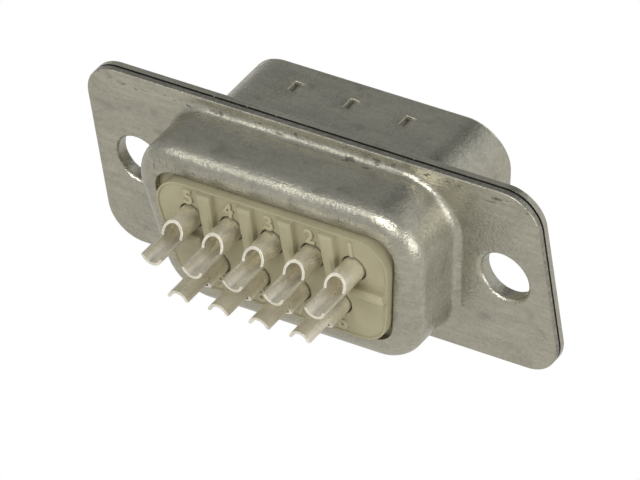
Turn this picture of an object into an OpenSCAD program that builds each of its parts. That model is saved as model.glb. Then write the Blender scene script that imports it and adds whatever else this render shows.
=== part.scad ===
// Nine-way D-subminiature plug with solder cups.
// +X runs along the flange, +Y is the mating direction, +Z is up on the wide, five-way side.
// The origin is the centre of the flange's front face, midway between the two fixing holes.
// Every piece is drawn in a working frame whose z is the depth behind that face, then stood up.

/* [Flange] */
// Distance of the flange's ends from the fixing holes' centres
hole_end = 2.905; // [2.805:0.01:3.405]
// Height of the flange
flange_h = 12.4; // [12.4:0.1:14]
// Corner radius of the flange
flange_r = 2.2; // [1:0.1:3]
// Thickness of each drawn steel sheet
sheet = 0.45; // [0.35:0.05:0.5]
// Distance between the two fixing holes
hole_pitch = 24.99; // [24.7:0.01:25.4]
// Radius of the clear fixing holes
hole_r = 1.55; // [1.4:0.05:1.7]
// Radius of the rounded entry of each fixing hole
hole_entry = 0.3; // [0.1:0.05:0.35]
// Wall of the collar that is drawn through the front sheet
collar_wall = 0.25; // [0.15:0.05:0.35]
// Width of the flare that locks the collar in the front sheet
collar_flare = 0.2; // [0.1:0.05:0.3]
// Radius of the flange's outer edges
edge_r = 0.1; // [0.08:0.01:0.2]
// Radius of the two sheets' edges at the seam between them
seam_r = 0.08; // [0.04:0.01:0.12]

/* [Rear shell] */
// Slope of the two ends of each D outline, in degrees
d_slope = 10; // [9:0.5:11]
// Width of the rear box, over its rounded corners
box_w = 19.28; // [18.8:0.04:19.4]
// Height of the rear box
box_h = 10.72; // [10.6:0.02:10.8]
// Corner radius of the rear box
box_r = 3.0; // [2.6:0.1:3.3]
// Depth of the rear box behind the flange's front face
box_depth = 4.8; // [4.4:0.1:5.6]
// Outer radius of the bend round the back of the box
box_back_bend = 1.1; // [0.8:0.1:1.4]
// Inner radius of the bend between the box and the flange
box_root_bend = 0.5; // [0.3:0.05:0.5]
// Gap between the rear insulator's face and the window in the back panel
window_gap = 0.13; // [0.1:0.01:0.2]
// Corner radius of that window
window_r = 1.4; // [1.2:0.05:1.6]

/* [Front shell] */
// Width of the mating skirt, over its rounded corners
skirt_w = 17.65; // [17.5:0.05:18]
// Height of the mating skirt
skirt_h = 9.05; // [9:0.05:9.3]
// Corner radius of the mating skirt
skirt_r = 2.6; // [2.4:0.1:3]
// Length of the mating skirt in front of the flange
skirt_l = 5.92; // [5.7:0.02:6.2]
// Outer radius of the bend between the skirt and the flange
skirt_root_bend = 0.5; // [0.3:0.05:0.7]
// Radius of the shallow round dimples, where they meet the skirt
dimple_r = 1.2; // [1:0.05:1.3]
// Depth of those dimples in their middle
dimple_depth = 0.13; // [0.1:0.01:0.2]
// Length of the notch that each dimple has at its left side
notch_l = 1.05; // [0.9:0.05:1.2]
// Width of that notch
notch_w = 0.85; // [0.7:0.05:1]
// Depth of the notch at its steep left end
notch_depth = 0.28; // [0.2:0.02:0.32]
// Distance between neighbouring dimples
dimple_pitch = 3.8; // [3:0.1:5]
// Offset of the middle dimple from the middle of the skirt
dimple_x = 0.2; // [-0.2:0.05:0.3]
// Distance of the dimples from the flange's front face
dimple_y = 4.05; // [3:0.05:4.5]

/* [Insulators] */
// How far the front insulator stands in front of the flange's front face
face_front = 0.35; // [0.1:0.05:0.8]
// Depth of the joint between the two insulators
split_depth = 2.4; // [2.1:0.1:2.8]
// Width of the rear insulator's face, over its rounded corners
face_w = 15.74; // [15.2:0.02:15.8]
// Height of the rear insulator's face
face_h = 7.2; // [6.9:0.02:7.24]
// Corner radius of the rear insulator's face
face_r = 1.9; // [1.4:0.1:2.2]
// How far the rear insulator's rim stands behind the back panel
rim_out = 0.44; // [0.36:0.02:0.6]
// Width of the rim round the rear insulator's face
rim_w = 0.14; // [0.1:0.02:0.3]
// Depth of the field inside that rim
field_drop = 0.08; // [0.04:0.02:0.2]
// How far the ribs stand out of the field
rib_out = 0.6; // [0.5:0.05:0.8]
// Width of the upright ribs where they leave the rim
rib_top_w = 0.92; // [0.8:0.04:1]
// Width of the upright ribs at their lower ends
rib_low_w = 0.72; // [0.6:0.04:0.8]
// Height of the upright ribs' lower ends over the middle between the rows
rib_low_y = 0.1; // [0:0.05:0.4]
// Width of the two level ribs at the ends of the rows
level_rib_w = 0.66; // [0.6:0.04:0.8]
// Width and depth of the slopes along the ribs' crests
rib_edge = 0.18; // [0.1:0.02:0.26]

/* [Contacts] */
// Distance between neighbouring contacts of a row
pitch = 2.77; // [2.7:0.01:2.8]
// Distance between the two rows of contacts
row_gap = 2.84; // [2.8:0.01:2.9]
// Radius of the mating pins
pin_r = 0.508; // [0.45:0.001:0.52]
// How far the pins reach in front of the flange's front face
pin_reach = 5.1; // [4.6:0.1:5.5]
// Length of the pins' tapered ends
pin_taper = 0.7; // [0.4:0.05:1]
// Radius of the contacts' barrels
barrel_r = 0.72; // [0.66:0.01:0.76]
// How far the barrels stand in front of the front insulator
barrel_out = 0.05; // [0.02:0.01:0.1]
// Wall of the solder cups
cup_wall = 0.17; // [0.1:0.01:0.22]
// Radius of the collar that holds a contact between the insulators
lock_r = 0.98; // [0.9:0.01:1.05]
// Thickness of that collar
lock_l = 0.5; // [0.3:0.05:0.7]
// Depth of the solder cups' open ends behind the flange's front face
cup_end = 9.1; // [8.6:0.1:10]
// Depth at which the cups begin to be cut away
cup_cut = 6.65; // [6.4:0.05:7]
// How much further back the sloping part of that cut ends
cup_slant = 0.5; // [0.2:0.05:0.8]
// How far the cut goes past the middle of the cup
cup_past = 0.14; // [0:0.01:0.2]
// Depth of the bottom of the solder cups' holes
cup_bottom = 5.6; // [5.2:0.1:6]

/* [Fits] */
// Clearance beside pieces that are pushed into each other
slip = 0.05; // [0.03:0.01:0.08]
// Clearance round the barrels at the rear insulator's face
bore_gap = 0.09; // [0.05:0.01:0.1]

/* [Hidden] */
$fn = 48;

flange_w = hole_pitch + 2 * hole_end;
flange_back = 2 * sheet;
panel_inside = box_depth - sheet;
rim_depth = box_depth + rim_out;
field_depth = rim_depth - field_drop;
collar_r = hole_r + collar_wall;
contacts = 9;
upper_contacts = 5;
// A cutting tool reaches this much past what it cuts
past = 0.1;
// How far a swept section runs into the flat plate that carries it
lap = 0.06;
// Overlap of a D's straight runs and corners, and how much thinner the straight runs are
joint_lap = 0.05;
hair = 0.002;
// How far a solid D's straight sides lie inside the tangents of its corner arcs
inset = 0.0005;

steel = [0.62, 0.61, 0.56];
tin = [0.72, 0.71, 0.66];
moulding = [0.66, 0.64, 0.54];

// ---- D outlines ----

// Centres of the four corner arcs of a D of that width, height and corner radius; without a slope
// it's a rectangle
function d_corners(w, h, r, slope = d_slope) =
    let (top_x = w / 2 - r, z = h / 2 - r, low_x = top_x - 2 * z * tan(slope))
    [[top_x, z], [-top_x, z], [-low_x, -z], [low_x, -z]];

// The same D with its corner radius made smaller by t and its sides left where they are
function d_tighter(corners, t) =
    let (top_x = t * (1 + sin(d_slope)) / cos(d_slope), low_x = t * (1 - sin(d_slope)) / cos(d_slope))
    corners + [[top_x, t], [-top_x, t], [-low_x, -t], [low_x, -t]];

// Each corner arc begins upright or level and turns until the next side leaves it
d_from = [90, 90, 270, 270];
function d_turn(slope) = [-90 - slope, 90 + slope, slope - 90, 90 - slope];
function d_side(slope) = [90, 180 + slope, 270, -slope];

function on_circle(centre, r, a) = centre + r * [cos(a), sin(a)];

// A closed D: arcs of radius r round the corners, joined by straight sides
module d_plate(corners, r, slope = d_slope) {
    side = d_side(slope);
    polygon([for (i = [0:3], a = [side[(i + 3) % 4], side[i]]) on_circle(corners[i], r - inset, a)]);
    for (c = corners) translate(c) circle(r);
}

// Carries a section round a D: its x is the distance from the line through the corners.
// The straight runs are a hair thinner than the corners and lap into them, so that they fuse.
module d_sweep(corners, slope = d_slope) {
    for (i = [0:3]) {
        next = corners[(i + 1) % 4];
        translate(corners[i]) rotate([0, 0, d_from[i]])
            rotate_extrude(angle = d_turn(slope)[i]) children($trim = 0);
        translate(next) rotate([0, 0, d_side(slope)[i]]) rotate([90, 0, 0])
            translate([0, 0, -joint_lap]) linear_extrude(norm(next - corners[i]) + 2 * joint_lap)
                children($trim = hair);
    }
}

// Sections are made of rectangles and quarters of rings
module strip(from, to) {
    translate(from) square(to - from);
}

module quarter_ring(centre, outer, inner, a) {
    translate(centre) rotate([0, 0, a]) intersection() {
        difference() {
            circle(outer - $trim);
            circle(inner + $trim);
        }
        square(outer + past);
    }
}

// ---- Flange ----

flange_corners = d_corners(flange_w, flange_h, flange_r, 0);

// One flange sheet from depth low to depth high with its rounded edges, open inside the outline children()
module flange_sheet(low, high, low_r, high_r) {
    translate([0, 0, low]) linear_extrude(high - low) difference() {
        d_plate(flange_corners, flange_r - edge_r - lap, 0);
        children();
    }
    d_sweep(flange_corners, 0) sheet_edge(low, high, low_r, high_r);
}

module sheet_edge(low, high, low_r, high_r) {
    inner = flange_r - edge_r - 2 * lap;
    strip([inner, low + $trim], [flange_r - low_r, low + low_r]);
    strip([inner, low + low_r], [flange_r - $trim, high - high_r]);
    strip([inner, high - high_r], [flange_r - high_r, high - $trim]);
    quarter_ring([flange_r - low_r, low + low_r], low_r, -$trim, 270);
    quarter_ring([flange_r - high_r, high - high_r], high_r, -$trim, 0);
}

module at_holes() {
    for (s = [-1, 1]) translate([s * hole_pitch / 2, 0, 0]) children();
}

// ---- Shells ----

box_corners = d_corners(box_w, box_h, box_r);
skirt_corners = d_corners(skirt_w, skirt_h, skirt_r);

module rear_shell() {
    color(steel) rotate([90, 0, 0]) difference() {
        union() {
            flange_sheet(sheet, flange_back, seam_r, edge_r)
                d_plate(box_corners, box_r + box_root_bend + lap);
            d_sweep(box_corners) rear_section();
            translate([0, 0, panel_inside]) linear_extrude(sheet)
                d_plate(box_corners, box_r - box_back_bend - lap);
            at_holes() collar();
        }
        at_holes() collar_hole();
        translate([0, 0, box_depth - box_back_bend]) linear_extrude(box_back_bend + past) window();
    }
}

// Flange stub, root bend, wall, back bend and stub of the back panel of the rear shell
module rear_section() {
    root = [box_r + box_root_bend, flange_back + box_root_bend];
    back = [box_r - box_back_bend, box_depth - box_back_bend];
    strip([root[0], sheet + $trim], [root[0] + 2 * lap, flange_back - $trim]);
    quarter_ring(root, box_root_bend + sheet, box_root_bend, 180);
    strip([box_r - sheet + $trim, root[1]], [box_r - $trim, back[1]]);
    quarter_ring(back, box_back_bend, box_back_bend - sheet, 0);
    strip([back[0] - 2 * lap, panel_inside + $trim], [back[0], box_depth - $trim]);
}

// Opening of the back panel round the rear insulator's face, with tighter corners than the face
module window() {
    tighter = face_r + window_gap - window_r;
    d_plate(d_tighter(face_corners, tighter), window_r);
}

// The collar goes forward through the front sheet and is flared in its countersink
module collar() {
    rotate_extrude() polygon([
        [0, sheet + sheet / 2], [0, 0], [collar_r + collar_flare, 0],
        [collar_r, collar_flare], [collar_r, sheet + sheet / 2]]);
}

module collar_hole() {
    translate([0, 0, -past]) cylinder(r = hole_r, h = flange_back + 2 * past);
    rotate_extrude() difference() {
        translate([0, flange_back - hole_entry]) square([hole_r + hole_entry, hole_entry + past]);
        translate([hole_r + hole_entry, flange_back - hole_entry]) circle(hole_entry);
    }
}

module front_shell() {
    color(steel) rotate([90, 0, 0]) difference() {
        union() {
            flange_sheet(0, sheet, edge_r, seam_r)
                d_plate(skirt_corners, skirt_r + skirt_root_bend + lap);
            d_sweep(skirt_corners) front_section();
            at_dimples() dimple_bump();
        }
        at_holes() collar_seat();
        at_dimples() dimple_hollow();
    }
}

// Flange stub, root bend and wall of the front shell, with a rounded mating edge
module front_section() {
    root = [skirt_r + skirt_root_bend, -skirt_root_bend];
    edge = [skirt_r - sheet / 2, sheet / 2 - skirt_l];
    strip([root[0], $trim], [root[0] + 2 * lap, sheet - $trim]);
    quarter_ring(root, skirt_root_bend + sheet, skirt_root_bend, 90);
    strip([skirt_r - sheet + $trim, edge[1]], [skirt_r - $trim, -skirt_root_bend]);
    for (a = [180, 270]) quarter_ring(edge, sheet / 2, -$trim, a);
}

// Hole and countersink that the rear shell's collar is flared into
module collar_seat() {
    seat_r = collar_r + slip;
    rotate_extrude() polygon([
        [0, -past], [seat_r + collar_flare + past, -past], [seat_r, collar_flare],
        [seat_r, sheet + past], [0, sheet + past]]);
}

module at_dimples() {
    for (i = [-1:1]) translate([dimple_x + i * dimple_pitch, skirt_h / 2, -dimple_y])
        rotate([-90, 0, 0]) children();
}

// A shallow dish, and a notch that is steep at its left and runs up into the dish at its right
module dimple_hollow() {
    dish(0, 2 * dimple_depth);
    notch_floor() linear_extrude(3 * notch_depth) notch_outline(0);
}

module dimple_bump() {
    intersection() {
        dish(sheet, -sheet / 2);
        cube(2 * (dimple_r + sheet), center = true);
    }
    notch_floor() translate([0, 0, -sheet]) linear_extrude(sheet) notch_outline(sheet / 2);
}

// Part of a ball below height top, a wall's thickness larger than the dimple's own ball
module dish(wall, top) {
    ball_r = (pow(dimple_r, 2) + pow(dimple_depth, 2)) / (2 * dimple_depth);
    difference() {
        translate([0, 0, ball_r - dimple_depth]) sphere(ball_r + wall);
        translate([-ball_r - wall - past, -ball_r - wall - past, top]) cube(2 * (ball_r + wall + past));
    }
}

module notch_floor() {
    translate([-dimple_r * 0.75, 0, -notch_depth])
        rotate([0, -atan(notch_depth / notch_l), 0]) children();
}

module notch_outline(wall) {
    round_x = notch_l - notch_w / 2;
    translate([round_x, 0]) circle(notch_w / 2 + wall);
    translate([-wall, -notch_w / 2 - wall + inset]) square([round_x + wall, notch_w + 2 * wall - 2 * inset]);
}

// ---- Insulators ----

face_corners = d_corners(face_w, face_h, face_r);

module bores(r, from, to) {
    for (n = [1:contacts]) at_contact(n) translate([0, 0, from]) cylinder(r = r, h = to - from);
}

module front_insulator() {
    color(moulding) rotate([90, 0, 0]) difference() {
        union() {
            translate([0, 0, sheet]) linear_extrude(split_depth - sheet)
                d_plate(box_corners, box_r - sheet - slip);
            translate([0, 0, -face_front]) linear_extrude(face_front + sheet + past)
                d_plate(skirt_corners, skirt_r - sheet - slip);
        }
        bores(barrel_r + slip, -face_front - past, split_depth + past);
    }
}

module rear_insulator() {
    color(moulding) rotate([90, 0, 0]) difference() {
        union() {
            translate([0, 0, split_depth]) linear_extrude(box_depth - box_back_bend - split_depth)
                d_plate(box_corners, box_r - sheet - slip);
            translate([0, 0, split_depth]) linear_extrude(panel_inside - split_depth)
                d_plate(box_corners, box_r - box_back_bend);
            rear_face();
            translate([0, 0, field_depth]) ribs();
        }
        bores(barrel_r + bore_gap, split_depth, rim_depth + rib_out);
        bores(lock_r + slip, split_depth - past, split_depth + lock_l + slip);
    }
}

// The block that stands through the window, with its field sunk inside a thin rim
module rear_face() {
    difference() {
        translate([0, 0, split_depth]) linear_extrude(rim_depth - split_depth)
            d_plate(face_corners, face_r);
        translate([0, 0, field_depth]) linear_extrude(field_drop + past)
            d_plate(face_corners, face_r - rim_w);
    }
}

// Tapered ribs between the upper contacts, and a level rib at each end between the rows
module ribs() {
    top = (face_h - rim_w) / 2;
    for (n = [upper_contacts + 1:contacts]) translate([contact_x(n), rib_low_y, 0])
        rib(top - rib_low_y, rib_low_w, rib_top_w);
    corner = face_corners[0];
    face_end = corner[0] - corner[1] * tan(d_slope) + face_r / cos(d_slope);
    start = contact_x(upper_contacts + 1) + rib_low_w;
    for (a = [-90, 90]) rotate([0, 0, a]) translate([0, start, 0])
        rib(face_end - rim_w / 2 - start, level_rib_w, level_rib_w);
}

// A rib that stands on z = 0 and runs along y, with upright sides and slopes round its crest
module rib(length, from_w, to_w) {
    hull() {
        translate([0, 0, -lap]) linear_extrude(rib_out - rib_edge + lap)
            rib_plan(length, from_w, to_w);
        translate([0, rib_edge, 0]) linear_extrude(rib_out)
            rib_plan(length - 2 * rib_edge, from_w - 2 * rib_edge, to_w - 2 * rib_edge);
    }
}

module rib_plan(length, from_w, to_w) {
    polygon([[-from_w / 2, 0], [from_w / 2, 0], [to_w / 2, length], [-to_w / 2, length]]);
}

// ---- Contacts ----

// The upper row is numbered first, from +X to -X, then the lower row
function is_upper(n) = n <= upper_contacts;
function row_middle(n) = (is_upper(n) ? 1 + upper_contacts : upper_contacts + 1 + contacts) / 2;
function contact_x(n) = (row_middle(n) - n) * pitch;
function contact_y(n) = (is_upper(n) ? 1 : -1) * row_gap / 2;

module at_contact(n) {
    translate([contact_x(n), contact_y(n), 0]) children();
}

// Tapered pin, barrel with its locking collar, and solder cup, open upwards
module contact_body() {
    tip_r = pin_r / 2;
    difference() {
        rotate_extrude() polygon([
            [0, -pin_reach], [tip_r, -pin_reach], [pin_r, pin_taper - pin_reach],
            [pin_r, -face_front - barrel_out], [barrel_r, -face_front - barrel_out],
            [barrel_r, split_depth], [lock_r, split_depth], [lock_r, split_depth + lock_l],
            [barrel_r, split_depth + lock_l], [barrel_r, cup_end], [0, cup_end]]);
        translate([0, 0, cup_bottom]) cylinder(r = barrel_r - cup_wall, h = cup_end);
        translate([barrel_r + past, 0, 0]) rotate([0, -90, 0]) linear_extrude(2 * (barrel_r + past))
            polygon([[cup_cut, barrel_r + past], [cup_cut, barrel_r], [cup_cut + cup_slant, -cup_past],
                [cup_end + past, -cup_past], [cup_end + past, barrel_r + past]]);
    }
}

module contact(n) {
    color(tin) rotate([90, 0, 0]) at_contact(n) rotate([0, 0, is_upper(n) ? 0 : 180]) contact_body();
}

front_shell();
rear_shell();
front_insulator();
rear_insulator();
contact(1);  // contact_1
contact(2);  // contact_2
contact(3);  // contact_3
contact(4);  // contact_4
contact(5);  // contact_5
contact(6);  // contact_6
contact(7);  // contact_7
contact(8);  // contact_8
contact(9);  // contact_9
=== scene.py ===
"""Nine-way D-sub plug with solder cups: finishes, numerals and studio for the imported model.

Every length here is in millimetres unless its name or comment says otherwise; the model is in metres.
"""

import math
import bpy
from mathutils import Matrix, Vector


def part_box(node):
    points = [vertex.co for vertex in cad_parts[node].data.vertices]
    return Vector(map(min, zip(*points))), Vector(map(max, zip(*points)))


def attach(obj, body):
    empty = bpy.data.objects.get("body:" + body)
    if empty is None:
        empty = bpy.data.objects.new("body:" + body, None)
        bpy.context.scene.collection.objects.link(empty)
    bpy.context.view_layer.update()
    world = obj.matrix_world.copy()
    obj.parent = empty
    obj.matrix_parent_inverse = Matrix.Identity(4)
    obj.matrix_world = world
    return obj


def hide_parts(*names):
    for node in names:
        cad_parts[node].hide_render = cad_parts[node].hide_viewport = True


bl_info = {
    "name": "D-sub Plug Builder",
    "version": (1, 0, 0),
    "blender": (4, 5, 0),
    "location": "View3D > Sidebar > D-sub Plug",
    "description": "Finishes a nine-way D-sub plug and sets up its studio",
    "category": "Object",
}

import bpy
from bpy.props import FloatProperty, FloatVectorProperty, PointerProperty
from mathutils import Matrix, Vector

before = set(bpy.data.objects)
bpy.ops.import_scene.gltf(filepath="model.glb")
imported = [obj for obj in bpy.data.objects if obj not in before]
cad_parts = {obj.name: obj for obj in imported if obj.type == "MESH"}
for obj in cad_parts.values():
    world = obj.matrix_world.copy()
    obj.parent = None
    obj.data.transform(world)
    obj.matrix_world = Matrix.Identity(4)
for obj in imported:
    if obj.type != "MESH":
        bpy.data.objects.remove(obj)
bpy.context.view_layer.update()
MM = 0.001

# Corner radius of the flange and place of the seam between its two sheets, as in the solids
FLANGE_R = 2.2
SEAM_Y = -0.45

# Middle of the row of dimples on the skirt, its half length, and their distance from the flange
DIMPLE_X = 0.2
DIMPLE_ROW = 4.9
DIMPLE_Y = 4.05

# Floor of the sunk field of the rear insulator, and how far a numeral stands from its contact
FIELD_Y = -5.16
NUMERAL_Z = 1.34

# Size of the font over the height of its figures
FONT_SIZE = 1.38

# Height of the studio floor, and the direction of its window from the part
FLOOR_Z = -45.0
WINDOW = (0.72, 0.58, 0.38)

DUST = (0.12, 0.11, 0.08)
TARNISH = (0.2, 0.18, 0.14)
YELLOWED = (1.0, 0.98, 0.93)
WARM_WHITE = (1.0, 0.99, 0.96)
SOFT_WHITE = (1.0, 0.99, 0.97)
COOL_WHITE = (0.97, 0.985, 1.0)
CREAM = (1.0, 0.985, 0.95)

SHELLS = ("front_shell", "rear_shell")
INSULATORS = ("front_insulator", "rear_insulator")
CONTACTS = tuple("contact_%d" % n for n in range(1, 10))


# ---- Settings ----


class DSUB_PG_shell(bpy.types.PropertyGroup):
    colour: FloatVectorProperty(
        name="Plate colour", description="Colour of the tin plate on the steel", subtype="COLOR",
        size=3, min=0, max=1, default=(0.42, 0.405, 0.335))
    # Also colours the painted shade in the dimples and beside the flange's seam, besides the specks, scrapes
    # and dashes
    grime: FloatVectorProperty(
        name="Grime and painted shade colour", description="Colour of the dark specks and dashes", subtype="COLOR",
        size=3, min=0, max=1, default=(0.10, 0.09, 0.075))
    roughness: FloatProperty(
        name="Roughness", description="Roughness of the satin plate", min=0, max=1, default=0.25)
    edge: FloatProperty(
        name="Edge rounding", description="Rounding that the light sees on the sheet's edges",
        subtype="DISTANCE", unit="LENGTH", min=0, default=0.09 * MM)


class DSUB_PG_moulding(bpy.types.PropertyGroup):
    colour: FloatVectorProperty(
        name="Plastic colour", description="Colour of the moulded insulators", subtype="COLOR",
        size=3, min=0, max=1, default=(0.40, 0.365, 0.235))
    roughness: FloatProperty(
        name="Roughness", description="Roughness of the moulded plastic", min=0, max=1, default=0.58)
    numeral_height: FloatProperty(
        name="Numeral height", description="Height of the pin numbers", subtype="DISTANCE",
        unit="LENGTH", min=0, default=0.95 * MM)
    numeral_relief: FloatProperty(
        name="Numeral relief", description="How far the pin numbers stand out", subtype="DISTANCE",
        unit="LENGTH", min=0, default=0.12 * MM)
    numeral_weight: FloatProperty(
        name="Numeral weight", description="How much the strokes are thickened", subtype="DISTANCE",
        unit="LENGTH", min=0, default=0.022 * MM)


class DSUB_PG_contact(bpy.types.PropertyGroup):
    colour: FloatVectorProperty(
        name="Tin colour", description="Colour of the tinned contacts", subtype="COLOR",
        size=3, min=0, max=1, default=(0.66, 0.64, 0.57))
    roughness: FloatProperty(
        name="Roughness", description="Roughness of the tin plate", min=0, max=1, default=0.3)


class DSUB_PG_stage(bpy.types.PropertyGroup):
    eye: FloatVectorProperty(
        name="Camera place", description="Where the camera stands", subtype="XYZ", unit="LENGTH",
        size=3, default=(0.228172, -0.270552, 0.269676))
    lens: FloatProperty(
        name="Focal length", description="Focal length of the camera, in millimetres",
        min=1, default=446.73)
    key: FloatProperty(name="Key light", description="Power of the key light", unit="POWER", default=0.62)
    fill: FloatProperty(name="Fill light", description="Power of the fill lights", unit="POWER", default=0.22)
    ambient: FloatProperty(name="Ambient", description="Strength of the room's light", default=0.36)
    pale: FloatProperty(
        name="Floor seen by metal", description="Brightness that polished surfaces see of the white floor",
        default=0.74)


# ---- Shader helpers ----


class Graph:
    """Adds and joins the nodes of one node tree."""

    def __init__(self, tree):
        self.tree = tree
        self.tree.nodes.clear()
        self.column = 0

    def node(self, kind, **values):
        made = self.tree.nodes.new(kind)
        made.location = (self.column, 0)
        self.column += 180
        for key, value in values.items():
            setattr(made, key, value)
        return made

    def join(self, source, target):
        self.tree.links.new(source, target)

    def math(self, operation, a, b=None, clamp=False):
        made = self.node("ShaderNodeMath", operation=operation, use_clamp=clamp)
        for socket, value in zip(made.inputs, (a, b)):
            self.feed(socket, value)
        return made.outputs[0]

    def feed(self, socket, value):
        if value is None:
            return
        if isinstance(value, bpy.types.NodeSocket):
            self.join(value, socket)
        else:
            socket.default_value = value

    def noise(self, vector, scale, detail=3.0, roughness=0.55, seed=0.0):
        made = self.node("ShaderNodeTexNoise", noise_dimensions="4D")
        self.feed(made.inputs["Vector"], vector)
        for key, value in (("Scale", scale), ("Detail", detail), ("Roughness", roughness), ("W", seed)):
            self.feed(made.inputs[key], value)
        return made.outputs["Fac"]

    def stretch(self, vector, scale, turn=(0, 0, 0)):
        made = self.node("ShaderNodeMapping")
        self.feed(made.inputs["Vector"], vector)
        made.inputs["Rotation"].default_value = turn
        made.inputs["Scale"].default_value = scale
        return made.outputs["Vector"]

    def ramp(self, value, low, high, to_low=0.0, to_high=1.0):
        made = self.node("ShaderNodeMapRange", interpolation_type="SMOOTHSTEP")
        for socket, item in zip(made.inputs, (value, low, high, to_low, to_high)):
            self.feed(socket, item)
        return made.outputs["Result"]

    def mix(self, factor, a, b, blend="MIX"):
        made = self.node("ShaderNodeMix", data_type="RGBA", blend_type=blend)
        self.feed(made.inputs["Factor"], factor)
        for key, value in (("A", a), ("B", b)):
            socket = [s for s in made.inputs if s.name == key and s.type == "RGBA"][0]
            self.feed(socket, value if isinstance(value, bpy.types.NodeSocket) else (*value[:3], 1.0))
        return [s for s in made.outputs if s.type == "RGBA"][0]

    def split(self, vector):
        made = self.node("ShaderNodeSeparateXYZ")
        self.join(vector, made.inputs[0])
        return tuple(made.outputs)

    def near(self, value, centre, half, soft):
        """1 where value lies within half of centre, 0 past a further soft"""
        away = self.math("ABSOLUTE", self.math("SUBTRACT", value, centre))
        return self.math("SUBTRACT", 1.0, self.ramp(away, half, half + soft))

    def millimetres(self):
        """Object coordinates, counted in millimetres"""
        place = self.node("ShaderNodeTexCoord")
        scaled = self.node("ShaderNodeVectorMath", operation="SCALE")
        self.join(place.outputs["Object"], scaled.inputs[0])
        scaled.inputs["Scale"].default_value = 1000.0
        return scaled.outputs["Vector"]


def new_group(name, inputs, outputs):
    group = bpy.data.node_groups.new(name, "ShaderNodeTree")
    for label, kind, default in inputs:
        socket = group.interface.new_socket(label, in_out="INPUT", socket_type=kind)
        if default is not None:
            socket.default_value = default
    for label, kind in outputs:
        group.interface.new_socket(label, in_out="OUTPUT", socket_type=kind)
    graph = Graph(group)
    return group, graph, graph.node("NodeGroupInput"), graph.node("NodeGroupOutput")


# The materials lighten edges with this mask: partly rubbed edges, partly painted highlight
def edge_wear_group():
    """Mask of the sharp outer edges, broken up by noise, and the rounded normal"""
    group, g, into, out = new_group(
        "Edge wear",
        [("Vector", "NodeSocketVector", None), ("Radius", "NodeSocketFloat", 0.1 * MM),
         ("Breakup", "NodeSocketFloat", 0.5)],
        [("Mask", "NodeSocketFloat"), ("Normal", "NodeSocketVector")])
    bevel = g.node("ShaderNodeBevel", samples=6)
    g.join(into.outputs["Radius"], bevel.inputs["Radius"])
    flat = g.node("ShaderNodeNewGeometry")
    dot = g.node("ShaderNodeVectorMath", operation="DOT_PRODUCT")
    g.join(bevel.outputs["Normal"], dot.inputs[0])
    g.join(flat.outputs["Normal"], dot.inputs[1])
    turned = g.math("SUBTRACT", 1.0, dot.outputs["Value"])
    patches = g.noise(into.outputs["Vector"], 2.6, 4.0, 0.6, 4.0)
    floor = g.math("MULTIPLY", into.outputs["Breakup"], patches)
    worn = g.math("SUBTRACT", turned, g.math("MULTIPLY", floor, 0.25))
    g.join(g.ramp(worn, 0.01, 0.16), out.inputs["Mask"])
    g.join(bevel.outputs["Normal"], out.inputs["Normal"])
    return group


def speck_group():
    """Small scattered specks: a mask of grains that are dense where a slow noise is high"""
    group, g, into, out = new_group(
        "Specks",
        [("Vector", "NodeSocketVector", None), ("Size", "NodeSocketFloat", 8.0),
         ("Amount", "NodeSocketFloat", 0.5), ("Seed", "NodeSocketFloat", 0.0)],
        [("Mask", "NodeSocketFloat")])
    grain = g.noise(into.outputs["Vector"], into.outputs["Size"], 2.0, 0.5, into.outputs["Seed"])
    fields = g.noise(into.outputs["Vector"], 0.55, 2.0, 0.5, g.math("ADD", into.outputs["Seed"], 7.0))
    level = g.math("ADD", g.math("MULTIPLY", fields, 0.45), g.math("MULTIPLY", into.outputs["Amount"], 0.2))
    total = g.math("ADD", grain, level)
    g.join(g.ramp(total, 0.93, 1.0), out.inputs["Mask"])
    return group


GROUPS = {}


def group_node(g, name, **values):
    if name not in GROUPS:
        GROUPS[name] = {"Edge wear": edge_wear_group, "Specks": speck_group}[name]()
    made = g.node("ShaderNodeGroup")
    made.node_tree = GROUPS[name]
    for key, value in values.items():
        g.feed(made.inputs[key], value)
    return made


def new_material(name):
    material = bpy.data.materials.new(name)
    material.use_nodes = True
    g = Graph(material.node_tree)
    shader = g.node("ShaderNodeBsdfPrincipled")
    output = g.node("ShaderNodeOutputMaterial")
    g.join(shader.outputs["BSDF"], output.inputs["Surface"])
    return material, g, shader


def bumped(g, height, strength, distance, normal=None):
    bump = g.node("ShaderNodeBump")
    bump.inputs["Strength"].default_value = strength
    bump.inputs["Distance"].default_value = distance
    g.feed(bump.inputs["Height"], height)
    if normal is not None:
        g.join(normal, bump.inputs["Normal"])
    return bump.outputs["Normal"]


def shade(colour, factor):
    return tuple(min(1.0, c * factor) for c in colour)


def seam_masks(g, place):
    """Painted shade in the groove between the two sheets along the flange's edge, and a band of painted shade
    on the rear sheet's edge beside it
    """
    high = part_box("rear_shell")[1] / MM
    x, y, z = g.split(place)
    past_x = g.math("MAXIMUM", g.math("SUBTRACT", g.math("ABSOLUTE", x), high.x - FLANGE_R), 0.0)
    past_z = g.math("MAXIMUM", g.math("SUBTRACT", g.math("ABSOLUTE", z), high.z - FLANGE_R), 0.0)
    out = g.math("SQRT", g.math("ADD", g.math("POWER", past_x, 2.0), g.math("POWER", past_z, 2.0)))
    edge = g.ramp(out, FLANGE_R - 0.16, FLANGE_R - 0.08)
    groove = g.math("MULTIPLY", edge, g.near(y, SEAM_Y - 0.03, 0.065, 0.03))
    return groove, g.math("MULTIPLY", edge, g.near(y, SEAM_Y - 0.22, 0.14, 0.1))


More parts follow.
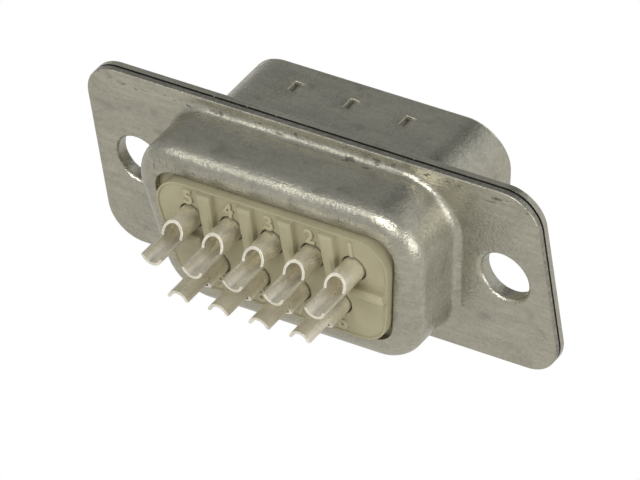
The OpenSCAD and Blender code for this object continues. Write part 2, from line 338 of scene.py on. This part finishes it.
def plated_steel(looks):
    """Satin tin plate on drawn steel: streaks, grain, smudges, specks, edges lightened partly by rubbing and
    partly as painted highlight, painted shade in the dimples, in the seam groove and beside it, dull side
    walls
    """
    material, g, shader = new_material("shell_steel")
    place = g.millimetres()
    x, y, z = g.split(place)
    lines = g.noise(g.stretch(place, (0.10, 1.0, 1.0)), 3.2, 5.0, 0.62, 1.0)
    fine = g.noise(g.stretch(place, (0.2, 2.2, 2.2)), 5.5, 3.0, 0.6, 2.0)
    grain = g.noise(place, 5.5, 2.5, 0.6, 5.0)
    cloud = g.noise(g.stretch(place, (0.6, 1.0, 1.0)), 0.55, 3.0, 0.55, 3.0)
    dimples = g.math("MULTIPLY", g.ramp(z, 4.0, 4.1), g.near(y, DIMPLE_Y, 1.4, 0.2))
    radius = g.math("ADD", looks.edge, g.math("MULTIPLY", dimples, 0.05 * MM))
    wear_and_glint = group_node(g, "Edge wear", Vector=place, Radius=radius, Breakup=0.7)
    specks = group_node(g, "Specks", Vector=place, Size=5.0, Amount=-0.3, Seed=11.0)
    root = g.math("MULTIPLY", g.near(z, 5.62, 0.25, 0.2), g.near(y, -1.15, 0.25, 0.2))
    dashes = g.noise(g.stretch(place, (0.35, 1.0, 1.0)), 3.4, 3.0, 0.6, 8.0)
    dashes = g.math("MULTIPLY", g.ramp(dashes, 0.58, 0.64), root)
    smudges = g.ramp(g.noise(g.stretch(place, (0.7, 1.0, 1.0)), 0.9, 2.0, 0.5, 13.0), 0.60, 0.74)
    scrapes = g.noise(g.stretch(place, (1.6, 1.0, 0.35), (0, 0.5, 0)), 3.0, 3.0, 0.6, 9.0)
    panel = g.math("MULTIPLY", g.near(z, 4.15, 0.35, 0.3), g.ramp(g.math("MULTIPLY", y, -1.0), 4.5, 4.7))
    scrapes = g.math("MAXIMUM", g.ramp(scrapes, 0.61, 0.67), g.ramp(grain, 0.60, 0.68))
    scrapes = g.math("MULTIPLY", scrapes, panel)
    # Painted shade in the dimples: the hollows on the skirt are coloured dark
    pit_shade = g.math("MULTIPLY", g.near(x, DIMPLE_X, DIMPLE_ROW, 0.1), g.ramp(z, 4.24, 4.36, 1.0, 0.0))
    pit_shade = g.math("MULTIPLY", g.math("MULTIPLY", dimples, pit_shade), g.near(y, DIMPLE_Y, 0.5, 0.1))
    seam, rim = seam_masks(g, place)

    tone = g.mix(g.ramp(cloud, 0.36, 0.64), shade(looks.colour, 0.88), shade(looks.colour, 1.08))
    tone = g.mix(g.ramp(lines, 0.36, 0.66, 0.0, 0.45), tone, shade(looks.colour, 0.74))
    tone = g.mix(g.ramp(grain, 0.35, 0.65, 0.0, 0.3), tone, shade(looks.colour, 1.35))
    # Edges lightened, wider round the dimples: partly rubbed plating, partly painted highlight
    tone = g.mix(g.math("MULTIPLY", wear_and_glint.outputs["Mask"], 0.35), tone, shade(looks.colour, 1.6))
    tone = g.mix(g.math("MULTIPLY", smudges, 0.6), tone, shade(looks.colour, 0.6))
    dashes = g.math("MULTIPLY", dashes, 0.75)
    # Dark marks in one mix: specks, dashes and scrapes, plus painted shade in the dimples and on the sheet's
    # edge beside the seam
    dirt_and_shade = g.math("MAXIMUM", g.math("MULTIPLY", specks.outputs["Mask"], 0.7), dashes)
    dirt_and_shade = g.math("MAXIMUM", dirt_and_shade, g.math("MULTIPLY", scrapes, 0.6))
    # Painted shade in the dimple hollows, at half to full strength by the grain
    dirt_and_shade = g.math("MAXIMUM", dirt_and_shade, g.math("MULTIPLY", pit_shade, g.ramp(grain, 0.35, 0.6, 0.5, 1.0)))
    # Painted shade on the rear sheet's edge beside the seam, broken up by the grain
    dirt_and_shade = g.math("MAXIMUM", dirt_and_shade, g.math("MULTIPLY", rim, g.ramp(grain, 0.40, 0.58, 0.15, 0.55)))
    tone = g.mix(dirt_and_shade, tone, looks.grime)
    # Painted shade in the seam groove: coloured near black
    groove_shade = g.math("MULTIPLY", seam, g.ramp(grain, 0.72, 0.64, 0.2, 1.0))
    tone = g.mix(groove_shade, tone, shade(looks.grime, 0.1))
    g.join(tone, shader.inputs["Base Color"])

    rough = g.math("ADD", g.ramp(lines, 0.3, 0.7, looks.roughness - 0.08, looks.roughness + 0.08),
                   g.ramp(cloud, 0.35, 0.65, -0.05, 0.06))
    rough = g.math("ADD", rough, g.math("MULTIPLY", g.math("MAXIMUM", dirt_and_shade, seam), 0.25), clamp=True)
    g.join(rough, shader.inputs["Roughness"])
    dull = g.ramp(g.math("ABSOLUTE", x), 8.5, 9.1)
    dull = g.math("MULTIPLY", dull, g.near(y, -2.6, 1.3, 0.4))
    g.join(g.ramp(dull, 0.0, 1.0, 0.88, 0.55), shader.inputs["Metallic"])

    height = g.math("ADD", g.math("MULTIPLY", lines, 0.45), g.math("MULTIPLY", fine, 0.2))
    height = g.math("ADD", height, g.math("MULTIPLY", grain, 0.75))
    g.join(bumped(g, height, 1.0, 0.05 * MM, wear_and_glint.outputs["Normal"]), shader.inputs["Normal"])
    return material


def moulded_plastic(looks):
    """Matt glass-filled plastic with a faint grain and dust"""
    material, g, shader = new_material("insulator_plastic")
    place = g.millimetres()
    cloud = g.noise(place, 0.5, 3.0, 0.5, 21.0)
    grain = g.noise(place, 14.0, 3.0, 0.6, 22.0)
    wear_and_glint = group_node(g, "Edge wear", Vector=place, Radius=0.13 * MM, Breakup=0.4)
    specks = group_node(g, "Specks", Vector=place, Size=7.0, Amount=0.0, Seed=31.0)

    tone = g.mix(g.ramp(cloud, 0.3, 0.7), shade(looks.colour, 0.78), shade(looks.colour, 0.92))
    tone = g.mix(g.ramp(grain, 0.42, 0.62, 0.0, 0.12), tone, shade(looks.colour, 1.25))
    tone = g.mix(g.math("MULTIPLY", specks.outputs["Mask"], 0.35), tone, DUST)
    # Edges lightened: partly rubbed plastic, partly painted highlight on the rounded rims
    tone = g.mix(g.math("MULTIPLY", wear_and_glint.outputs["Mask"], 0.35), tone, shade(looks.colour, 1.35))
    g.join(tone, shader.inputs["Base Color"])
    rough = g.ramp(grain, 0.3, 0.7, looks.roughness - 0.06, looks.roughness + 0.08)
    g.join(rough, shader.inputs["Roughness"])
    g.join(bumped(g, grain, 0.35, 0.012 * MM, wear_and_glint.outputs["Normal"]), shader.inputs["Normal"])
    return material


def tinned_contact(looks):
    """Bright satin tin with fine lines, a yellowish film, specks, and cut edges lightened partly as polish
    and partly as painted highlight
    """
    material, g, shader = new_material("contact_tin")
    place = g.millimetres()
    lines = g.noise(g.stretch(place, (1.0, 0.28, 1.0)), 4.5, 4.0, 0.6, 41.0)
    cloud = g.noise(place, 0.9, 3.0, 0.5, 42.0)
    grain = g.noise(place, 7.0, 2.0, 0.5, 43.0)
    wear_and_glint = group_node(g, "Edge wear", Vector=place, Radius=0.035 * MM, Breakup=0.6)
    specks = group_node(g, "Specks", Vector=place, Size=9.0, Amount=-0.1, Seed=51.0)

    tone = g.mix(g.ramp(cloud, 0.3, 0.7), shade(looks.colour, 1.14), shade(looks.colour, 1.4))
    tone = g.mix(g.ramp(lines, 0.4, 0.7, 0.0, 0.3), tone, shade(looks.colour, 0.85))
    tone = g.mix(g.math("MULTIPLY", specks.outputs["Mask"], 0.4), tone, TARNISH)
    # Cut edges lightened: partly polish, partly painted highlight
    tone = g.mix(g.math("MULTIPLY", wear_and_glint.outputs["Mask"], 0.3), tone, shade(looks.colour, 1.3))
    tone = g.mix(1.0, tone, YELLOWED, "MULTIPLY")
    g.join(tone, shader.inputs["Base Color"])
    rough = g.ramp(lines, 0.3, 0.7, looks.roughness - 0.05, looks.roughness + 0.1)
    g.join(rough, shader.inputs["Roughness"])
    shader.inputs["Metallic"].default_value = 0.8
    height = g.math("ADD", g.math("MULTIPLY", lines, 0.4), g.math("MULTIPLY", grain, 1.0))
    g.join(bumped(g, height, 1.0, 0.025 * MM, wear_and_glint.outputs["Normal"]), shader.inputs["Normal"])
    return material


# ---- Mesh helpers ----


def only(obj):
    """Selects this object alone and makes it active"""
    bpy.ops.object.select_all(action="DESELECT")
    obj.select_set(True)
    bpy.context.view_layer.objects.active = obj


def finish_piece(obj, name, material):
    """Names a piece, gives it its finish and lets it ride on the part"""
    obj.name = name
    obj.data.name = name
    obj.data.materials.clear()
    obj.data.materials.append(material)
    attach(obj, "root")


def smooth_copy(node, angle):
    """A joined copy of a solid's surface, smooth over bends and sharp at edges"""
    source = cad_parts[node]
    copy = bpy.data.objects.new(node + "_finish", source.data.copy())
    bpy.context.scene.collection.objects.link(copy)
    only(copy)
    bpy.ops.object.mode_set(mode="EDIT")
    bpy.ops.mesh.select_all(action="SELECT")
    bpy.ops.mesh.remove_doubles(threshold=2e-7)
    bpy.ops.mesh.customdata_custom_splitnormals_clear()
    bpy.ops.object.mode_set(mode="OBJECT")
    bpy.ops.object.shade_smooth_by_angle(angle=math.radians(angle))
    return copy


def dress(nodes, material, angle):
    for node in nodes:
        copy = smooth_copy(node, angle)
        finish_piece(copy, node + "_finish", material)
        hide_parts(node)


def contact_place(n):
    """Middle of a contact in the flange's plane, from its solid"""
    low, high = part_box("contact_%d" % n)
    return (low.x + high.x) / 2, (low.z + high.z) / 2


def numeral(text, x, y, z, looks):
    """One raised figure, centred at x and z, that stands on the plane y and faces the rear"""
    bpy.ops.object.select_all(action="DESELECT")
    bpy.ops.object.text_add()
    obj = bpy.context.object
    obj.data.body = text
    obj.data.size = looks.numeral_height * FONT_SIZE
    obj.data.align_x = "CENTER"
    obj.data.extrude = looks.numeral_relief * 0.75
    obj.data.bevel_depth = looks.numeral_relief * 0.25
    obj.data.bevel_resolution = 2
    obj.data.offset = looks.numeral_weight
    bpy.ops.object.convert(target="MESH")
    obj = bpy.context.object
    obj.data.transform(Matrix.Rotation(math.radians(90), 4, "X"))
    xs = [v.co.x for v in obj.data.vertices]
    zs = [v.co.z for v in obj.data.vertices]
    obj.data.transform(Matrix.Translation(
        (x - (min(xs) + max(xs)) / 2, y, z - (min(zs) + max(zs)) / 2)))
    only(obj)
    bpy.ops.object.mode_set(mode="EDIT")
    bpy.ops.mesh.select_all(action="SELECT")
    bpy.ops.mesh.remove_doubles(threshold=1e-7)
    bpy.ops.mesh.normals_make_consistent(inside=False)
    bpy.ops.object.mode_set(mode="OBJECT")
    bpy.ops.object.shade_smooth_by_angle(angle=math.radians(40))
    return obj


def join_pieces(pieces):
    bpy.ops.object.select_all(action="DESELECT")
    for piece in pieces:
        piece.select_set(True)
    bpy.context.view_layer.objects.active = pieces[0]
    bpy.ops.object.join()
    return pieces[0]


# ---- Operators ----


class DSUB_OT_shells(bpy.types.Operator):
    """Finish the two drawn steel shells"""

    bl_idname = "dsub.shells"
    bl_label = "Finish shells"

    def execute(self, context):
        looks = context.scene.dsub_shell
        steel = plated_steel(looks)
        dress(SHELLS, steel, 28)
        return {"FINISHED"}


class DSUB_OT_insulators(bpy.types.Operator):
    """Finish the two moulded insulators"""

    bl_idname = "dsub.insulators"
    bl_label = "Finish insulators"

    def execute(self, context):
        plastic = moulded_plastic(context.scene.dsub_moulding)
        dress(INSULATORS, plastic, 30)
        return {"FINISHED"}


class DSUB_OT_numerals(bpy.types.Operator):
    """Add the raised pin numbers beside the solder cups"""

    bl_idname = "dsub.numerals"
    bl_label = "Add pin numbers"

    def execute(self, context):
        looks = context.scene.dsub_moulding
        plastic = bpy.data.materials["insulator_plastic"]
        figures = []
        for n in range(1, 10):
            x, z = contact_place(n)
            side = 1 if z > 0 else -1
            figures.append(numeral(str(n), x, FIELD_Y * MM, z + side * NUMERAL_Z * MM, looks))
        finish_piece(join_pieces(figures), "rear_numerals", plastic)
        return {"FINISHED"}


class DSUB_OT_contacts(bpy.types.Operator):
    """Finish the nine contacts"""

    bl_idname = "dsub.contacts"
    bl_label = "Finish contacts"

    def execute(self, context):
        tin = tinned_contact(context.scene.dsub_contact)
        dress(CONTACTS, tin, 35)
        return {"FINISHED"}


def area_light(name, place, size, power, colour):
    """A rectangular lamp that points at the part"""
    bpy.ops.object.light_add(type="AREA", location=place)
    lamp = bpy.context.object
    lamp.name = name
    lamp.data.shape = "RECTANGLE"
    lamp.data.size, lamp.data.size_y = size
    lamp.data.energy = power
    lamp.data.color = colour
    lamp.rotation_euler = (-Vector(place)).to_track_quat("-Z", "Y").to_euler()


class DSUB_OT_stage(bpy.types.Operator):
    """Set up the floor, the room's light, the lamps and the camera"""

    bl_idname = "dsub.stage"
    bl_label = "Set up studio"

    def execute(self, context):
        stage = context.scene.dsub_stage
        self.room(context, stage)
        self.floor(stage)
        self.lamps(stage)
        self.camera(context, stage)
        return {"FINISHED"}

    def room(self, context, stage):
        world = bpy.data.worlds.new("studio_room")
        context.scene.world = world
        world.use_nodes = True
        g = Graph(world.node_tree)
        out = g.node("ShaderNodeOutputWorld")
        around = g.node("ShaderNodeTexCoord")
        split = g.node("ShaderNodeSeparateXYZ")
        g.join(around.outputs["Generated"], split.inputs[0])
        front = g.ramp(split.outputs["Y"], -0.9, 0.5, 0.22, 0.0)
        side = g.node("ShaderNodeVectorMath", operation="DOT_PRODUCT")
        g.join(around.outputs["Generated"], side.inputs[0])
        side.inputs[1].default_value = WINDOW
        window = g.ramp(side.outputs["Value"], 0.72, 0.97, 0.0, 0.45)
        light = g.node("ShaderNodeBackground")
        total = g.math("ADD", g.math("ADD", front, window), stage.ambient)
        dark = g.near(split.outputs["X"], -0.2, 0.09, 0.14)
        dark = g.math("MULTIPLY", dark, g.ramp(split.outputs["Y"], 0.3, 0.5, 0.0, 0.65))
        g.join(g.math("MULTIPLY", total, g.math("SUBTRACT", 1.0, dark)), light.inputs["Strength"])
        light.inputs["Color"].default_value = (*COOL_WHITE, 1.0)
        white = g.node("ShaderNodeBackground")
        white.inputs["Strength"].default_value = 1.0
        path = g.node("ShaderNodeLightPath")
        mix = g.node("ShaderNodeMixShader")
        g.join(path.outputs["Is Camera Ray"], mix.inputs["Fac"])
        g.join(light.outputs[0], mix.inputs[1])
        g.join(white.outputs[0], mix.inputs[2])
        g.join(mix.outputs[0], out.inputs["Surface"])

    def floor(self, stage):
        bpy.ops.object.select_all(action="DESELECT")
        bpy.ops.mesh.primitive_plane_add(size=3.0, location=(0, 0, FLOOR_Z * MM))
        floor = bpy.context.object
        floor.name = "studio_floor"
        material, g, shader = new_material("studio_floor")
        shader.inputs["Base Color"].default_value = (0.8, 0.79, 0.77, 1.0)
        shader.inputs["Roughness"].default_value = 0.9
        white = g.node("ShaderNodeEmission")
        path = g.node("ShaderNodeLightPath")
        seen = g.mix(path.outputs["Is Camera Ray"], CREAM, (1.0, 1.0, 1.0))
        g.join(seen, white.inputs["Color"])
        g.join(g.ramp(path.outputs["Is Camera Ray"], 0.0, 1.0, stage.pale, 1.0), white.inputs["Strength"])
        mix = g.node("ShaderNodeMixShader")
        output = [n for n in g.tree.nodes if n.type == "OUTPUT_MATERIAL"][0]
        glow = g.math("MAXIMUM", path.outputs["Is Camera Ray"], path.outputs["Is Glossy Ray"])
        g.join(glow, mix.inputs["Fac"])
        g.join(shader.outputs[0], mix.inputs[1])
        g.join(white.outputs[0], mix.inputs[2])
        g.join(mix.outputs[0], output.inputs["Surface"])
        floor.data.materials.append(material)

    def lamps(self, stage):
        area_light("key_lamp", (0.02, -0.28, 0.24), (0.24, 0.16), stage.key, WARM_WHITE)
        area_light("left_lamp", (-0.17, -0.23, 0.24), (0.2, 0.16), 0.5 * stage.fill, WARM_WHITE)
        area_light("fill_lamp", (0.34, -0.12, 0.04), (0.25, 0.2), 2.3 * stage.fill, SOFT_WHITE)
        area_light("back_lamp", (0.02, 0.36, 0.03), (0.2, 0.2), stage.fill, SOFT_WHITE)

    def camera(self, context, stage):
        right = Vector((0.81685905, 0.56232361, -0.12858245))
        up = Vector((-0.26460379, 0.56335102, 0.78270075))
        back = right.cross(up)
        bpy.ops.object.camera_add()
        camera = bpy.context.object
        camera.name = "studio_camera"
        turn = Matrix((right, up, back)).transposed().to_4x4()
        camera.matrix_world = Matrix.Translation(stage.eye) @ turn
        camera.data.sensor_width = 36.0
        camera.data.lens = stage.lens
        camera.data.clip_start = 0.01
        camera.data.clip_end = 20.0
        context.scene.camera = camera
        context.scene.view_settings.view_transform = "Standard"


class DSUB_PT_panel(bpy.types.Panel):
    bl_label = "D-sub Plug"
    bl_idname = "DSUB_PT_panel"
    bl_space_type = "VIEW_3D"
    bl_region_type = "UI"
    bl_category = "D-sub Plug"

    def draw(self, context):
        for operator in OPERATORS:
            self.layout.operator(operator.bl_idname)
        for settings in ("dsub_shell", "dsub_moulding", "dsub_contact", "dsub_stage"):
            group = getattr(context.scene, settings)
            for name in group.bl_rna.properties.keys():
                if name not in ("rna_type", "name"):
                    self.layout.prop(group, name)


SETTINGS = {
    "dsub_shell": DSUB_PG_shell,
    "dsub_moulding": DSUB_PG_moulding,
    "dsub_contact": DSUB_PG_contact,
    "dsub_stage": DSUB_PG_stage,
}
OPERATORS = (DSUB_OT_shells, DSUB_OT_insulators, DSUB_OT_contacts, DSUB_OT_numerals, DSUB_OT_stage)


def register():
    for cls in (*SETTINGS.values(), *OPERATORS, DSUB_PT_panel):
        bpy.utils.register_class(cls)
    for name, cls in SETTINGS.items():
        setattr(bpy.types.Scene, name, PointerProperty(type=cls))


def unregister():
    for name in SETTINGS:
        delattr(bpy.types.Scene, name)
    for cls in reversed((*SETTINGS.values(), *OPERATORS, DSUB_PT_panel)):
        bpy.utils.unregister_class(cls)


def main():
    register()
    bpy.ops.dsub.shells()
    bpy.ops.dsub.insulators()
    bpy.ops.dsub.contacts()
    bpy.ops.dsub.numerals()
    bpy.ops.dsub.stage()


if __name__ == "__main__":
    main()
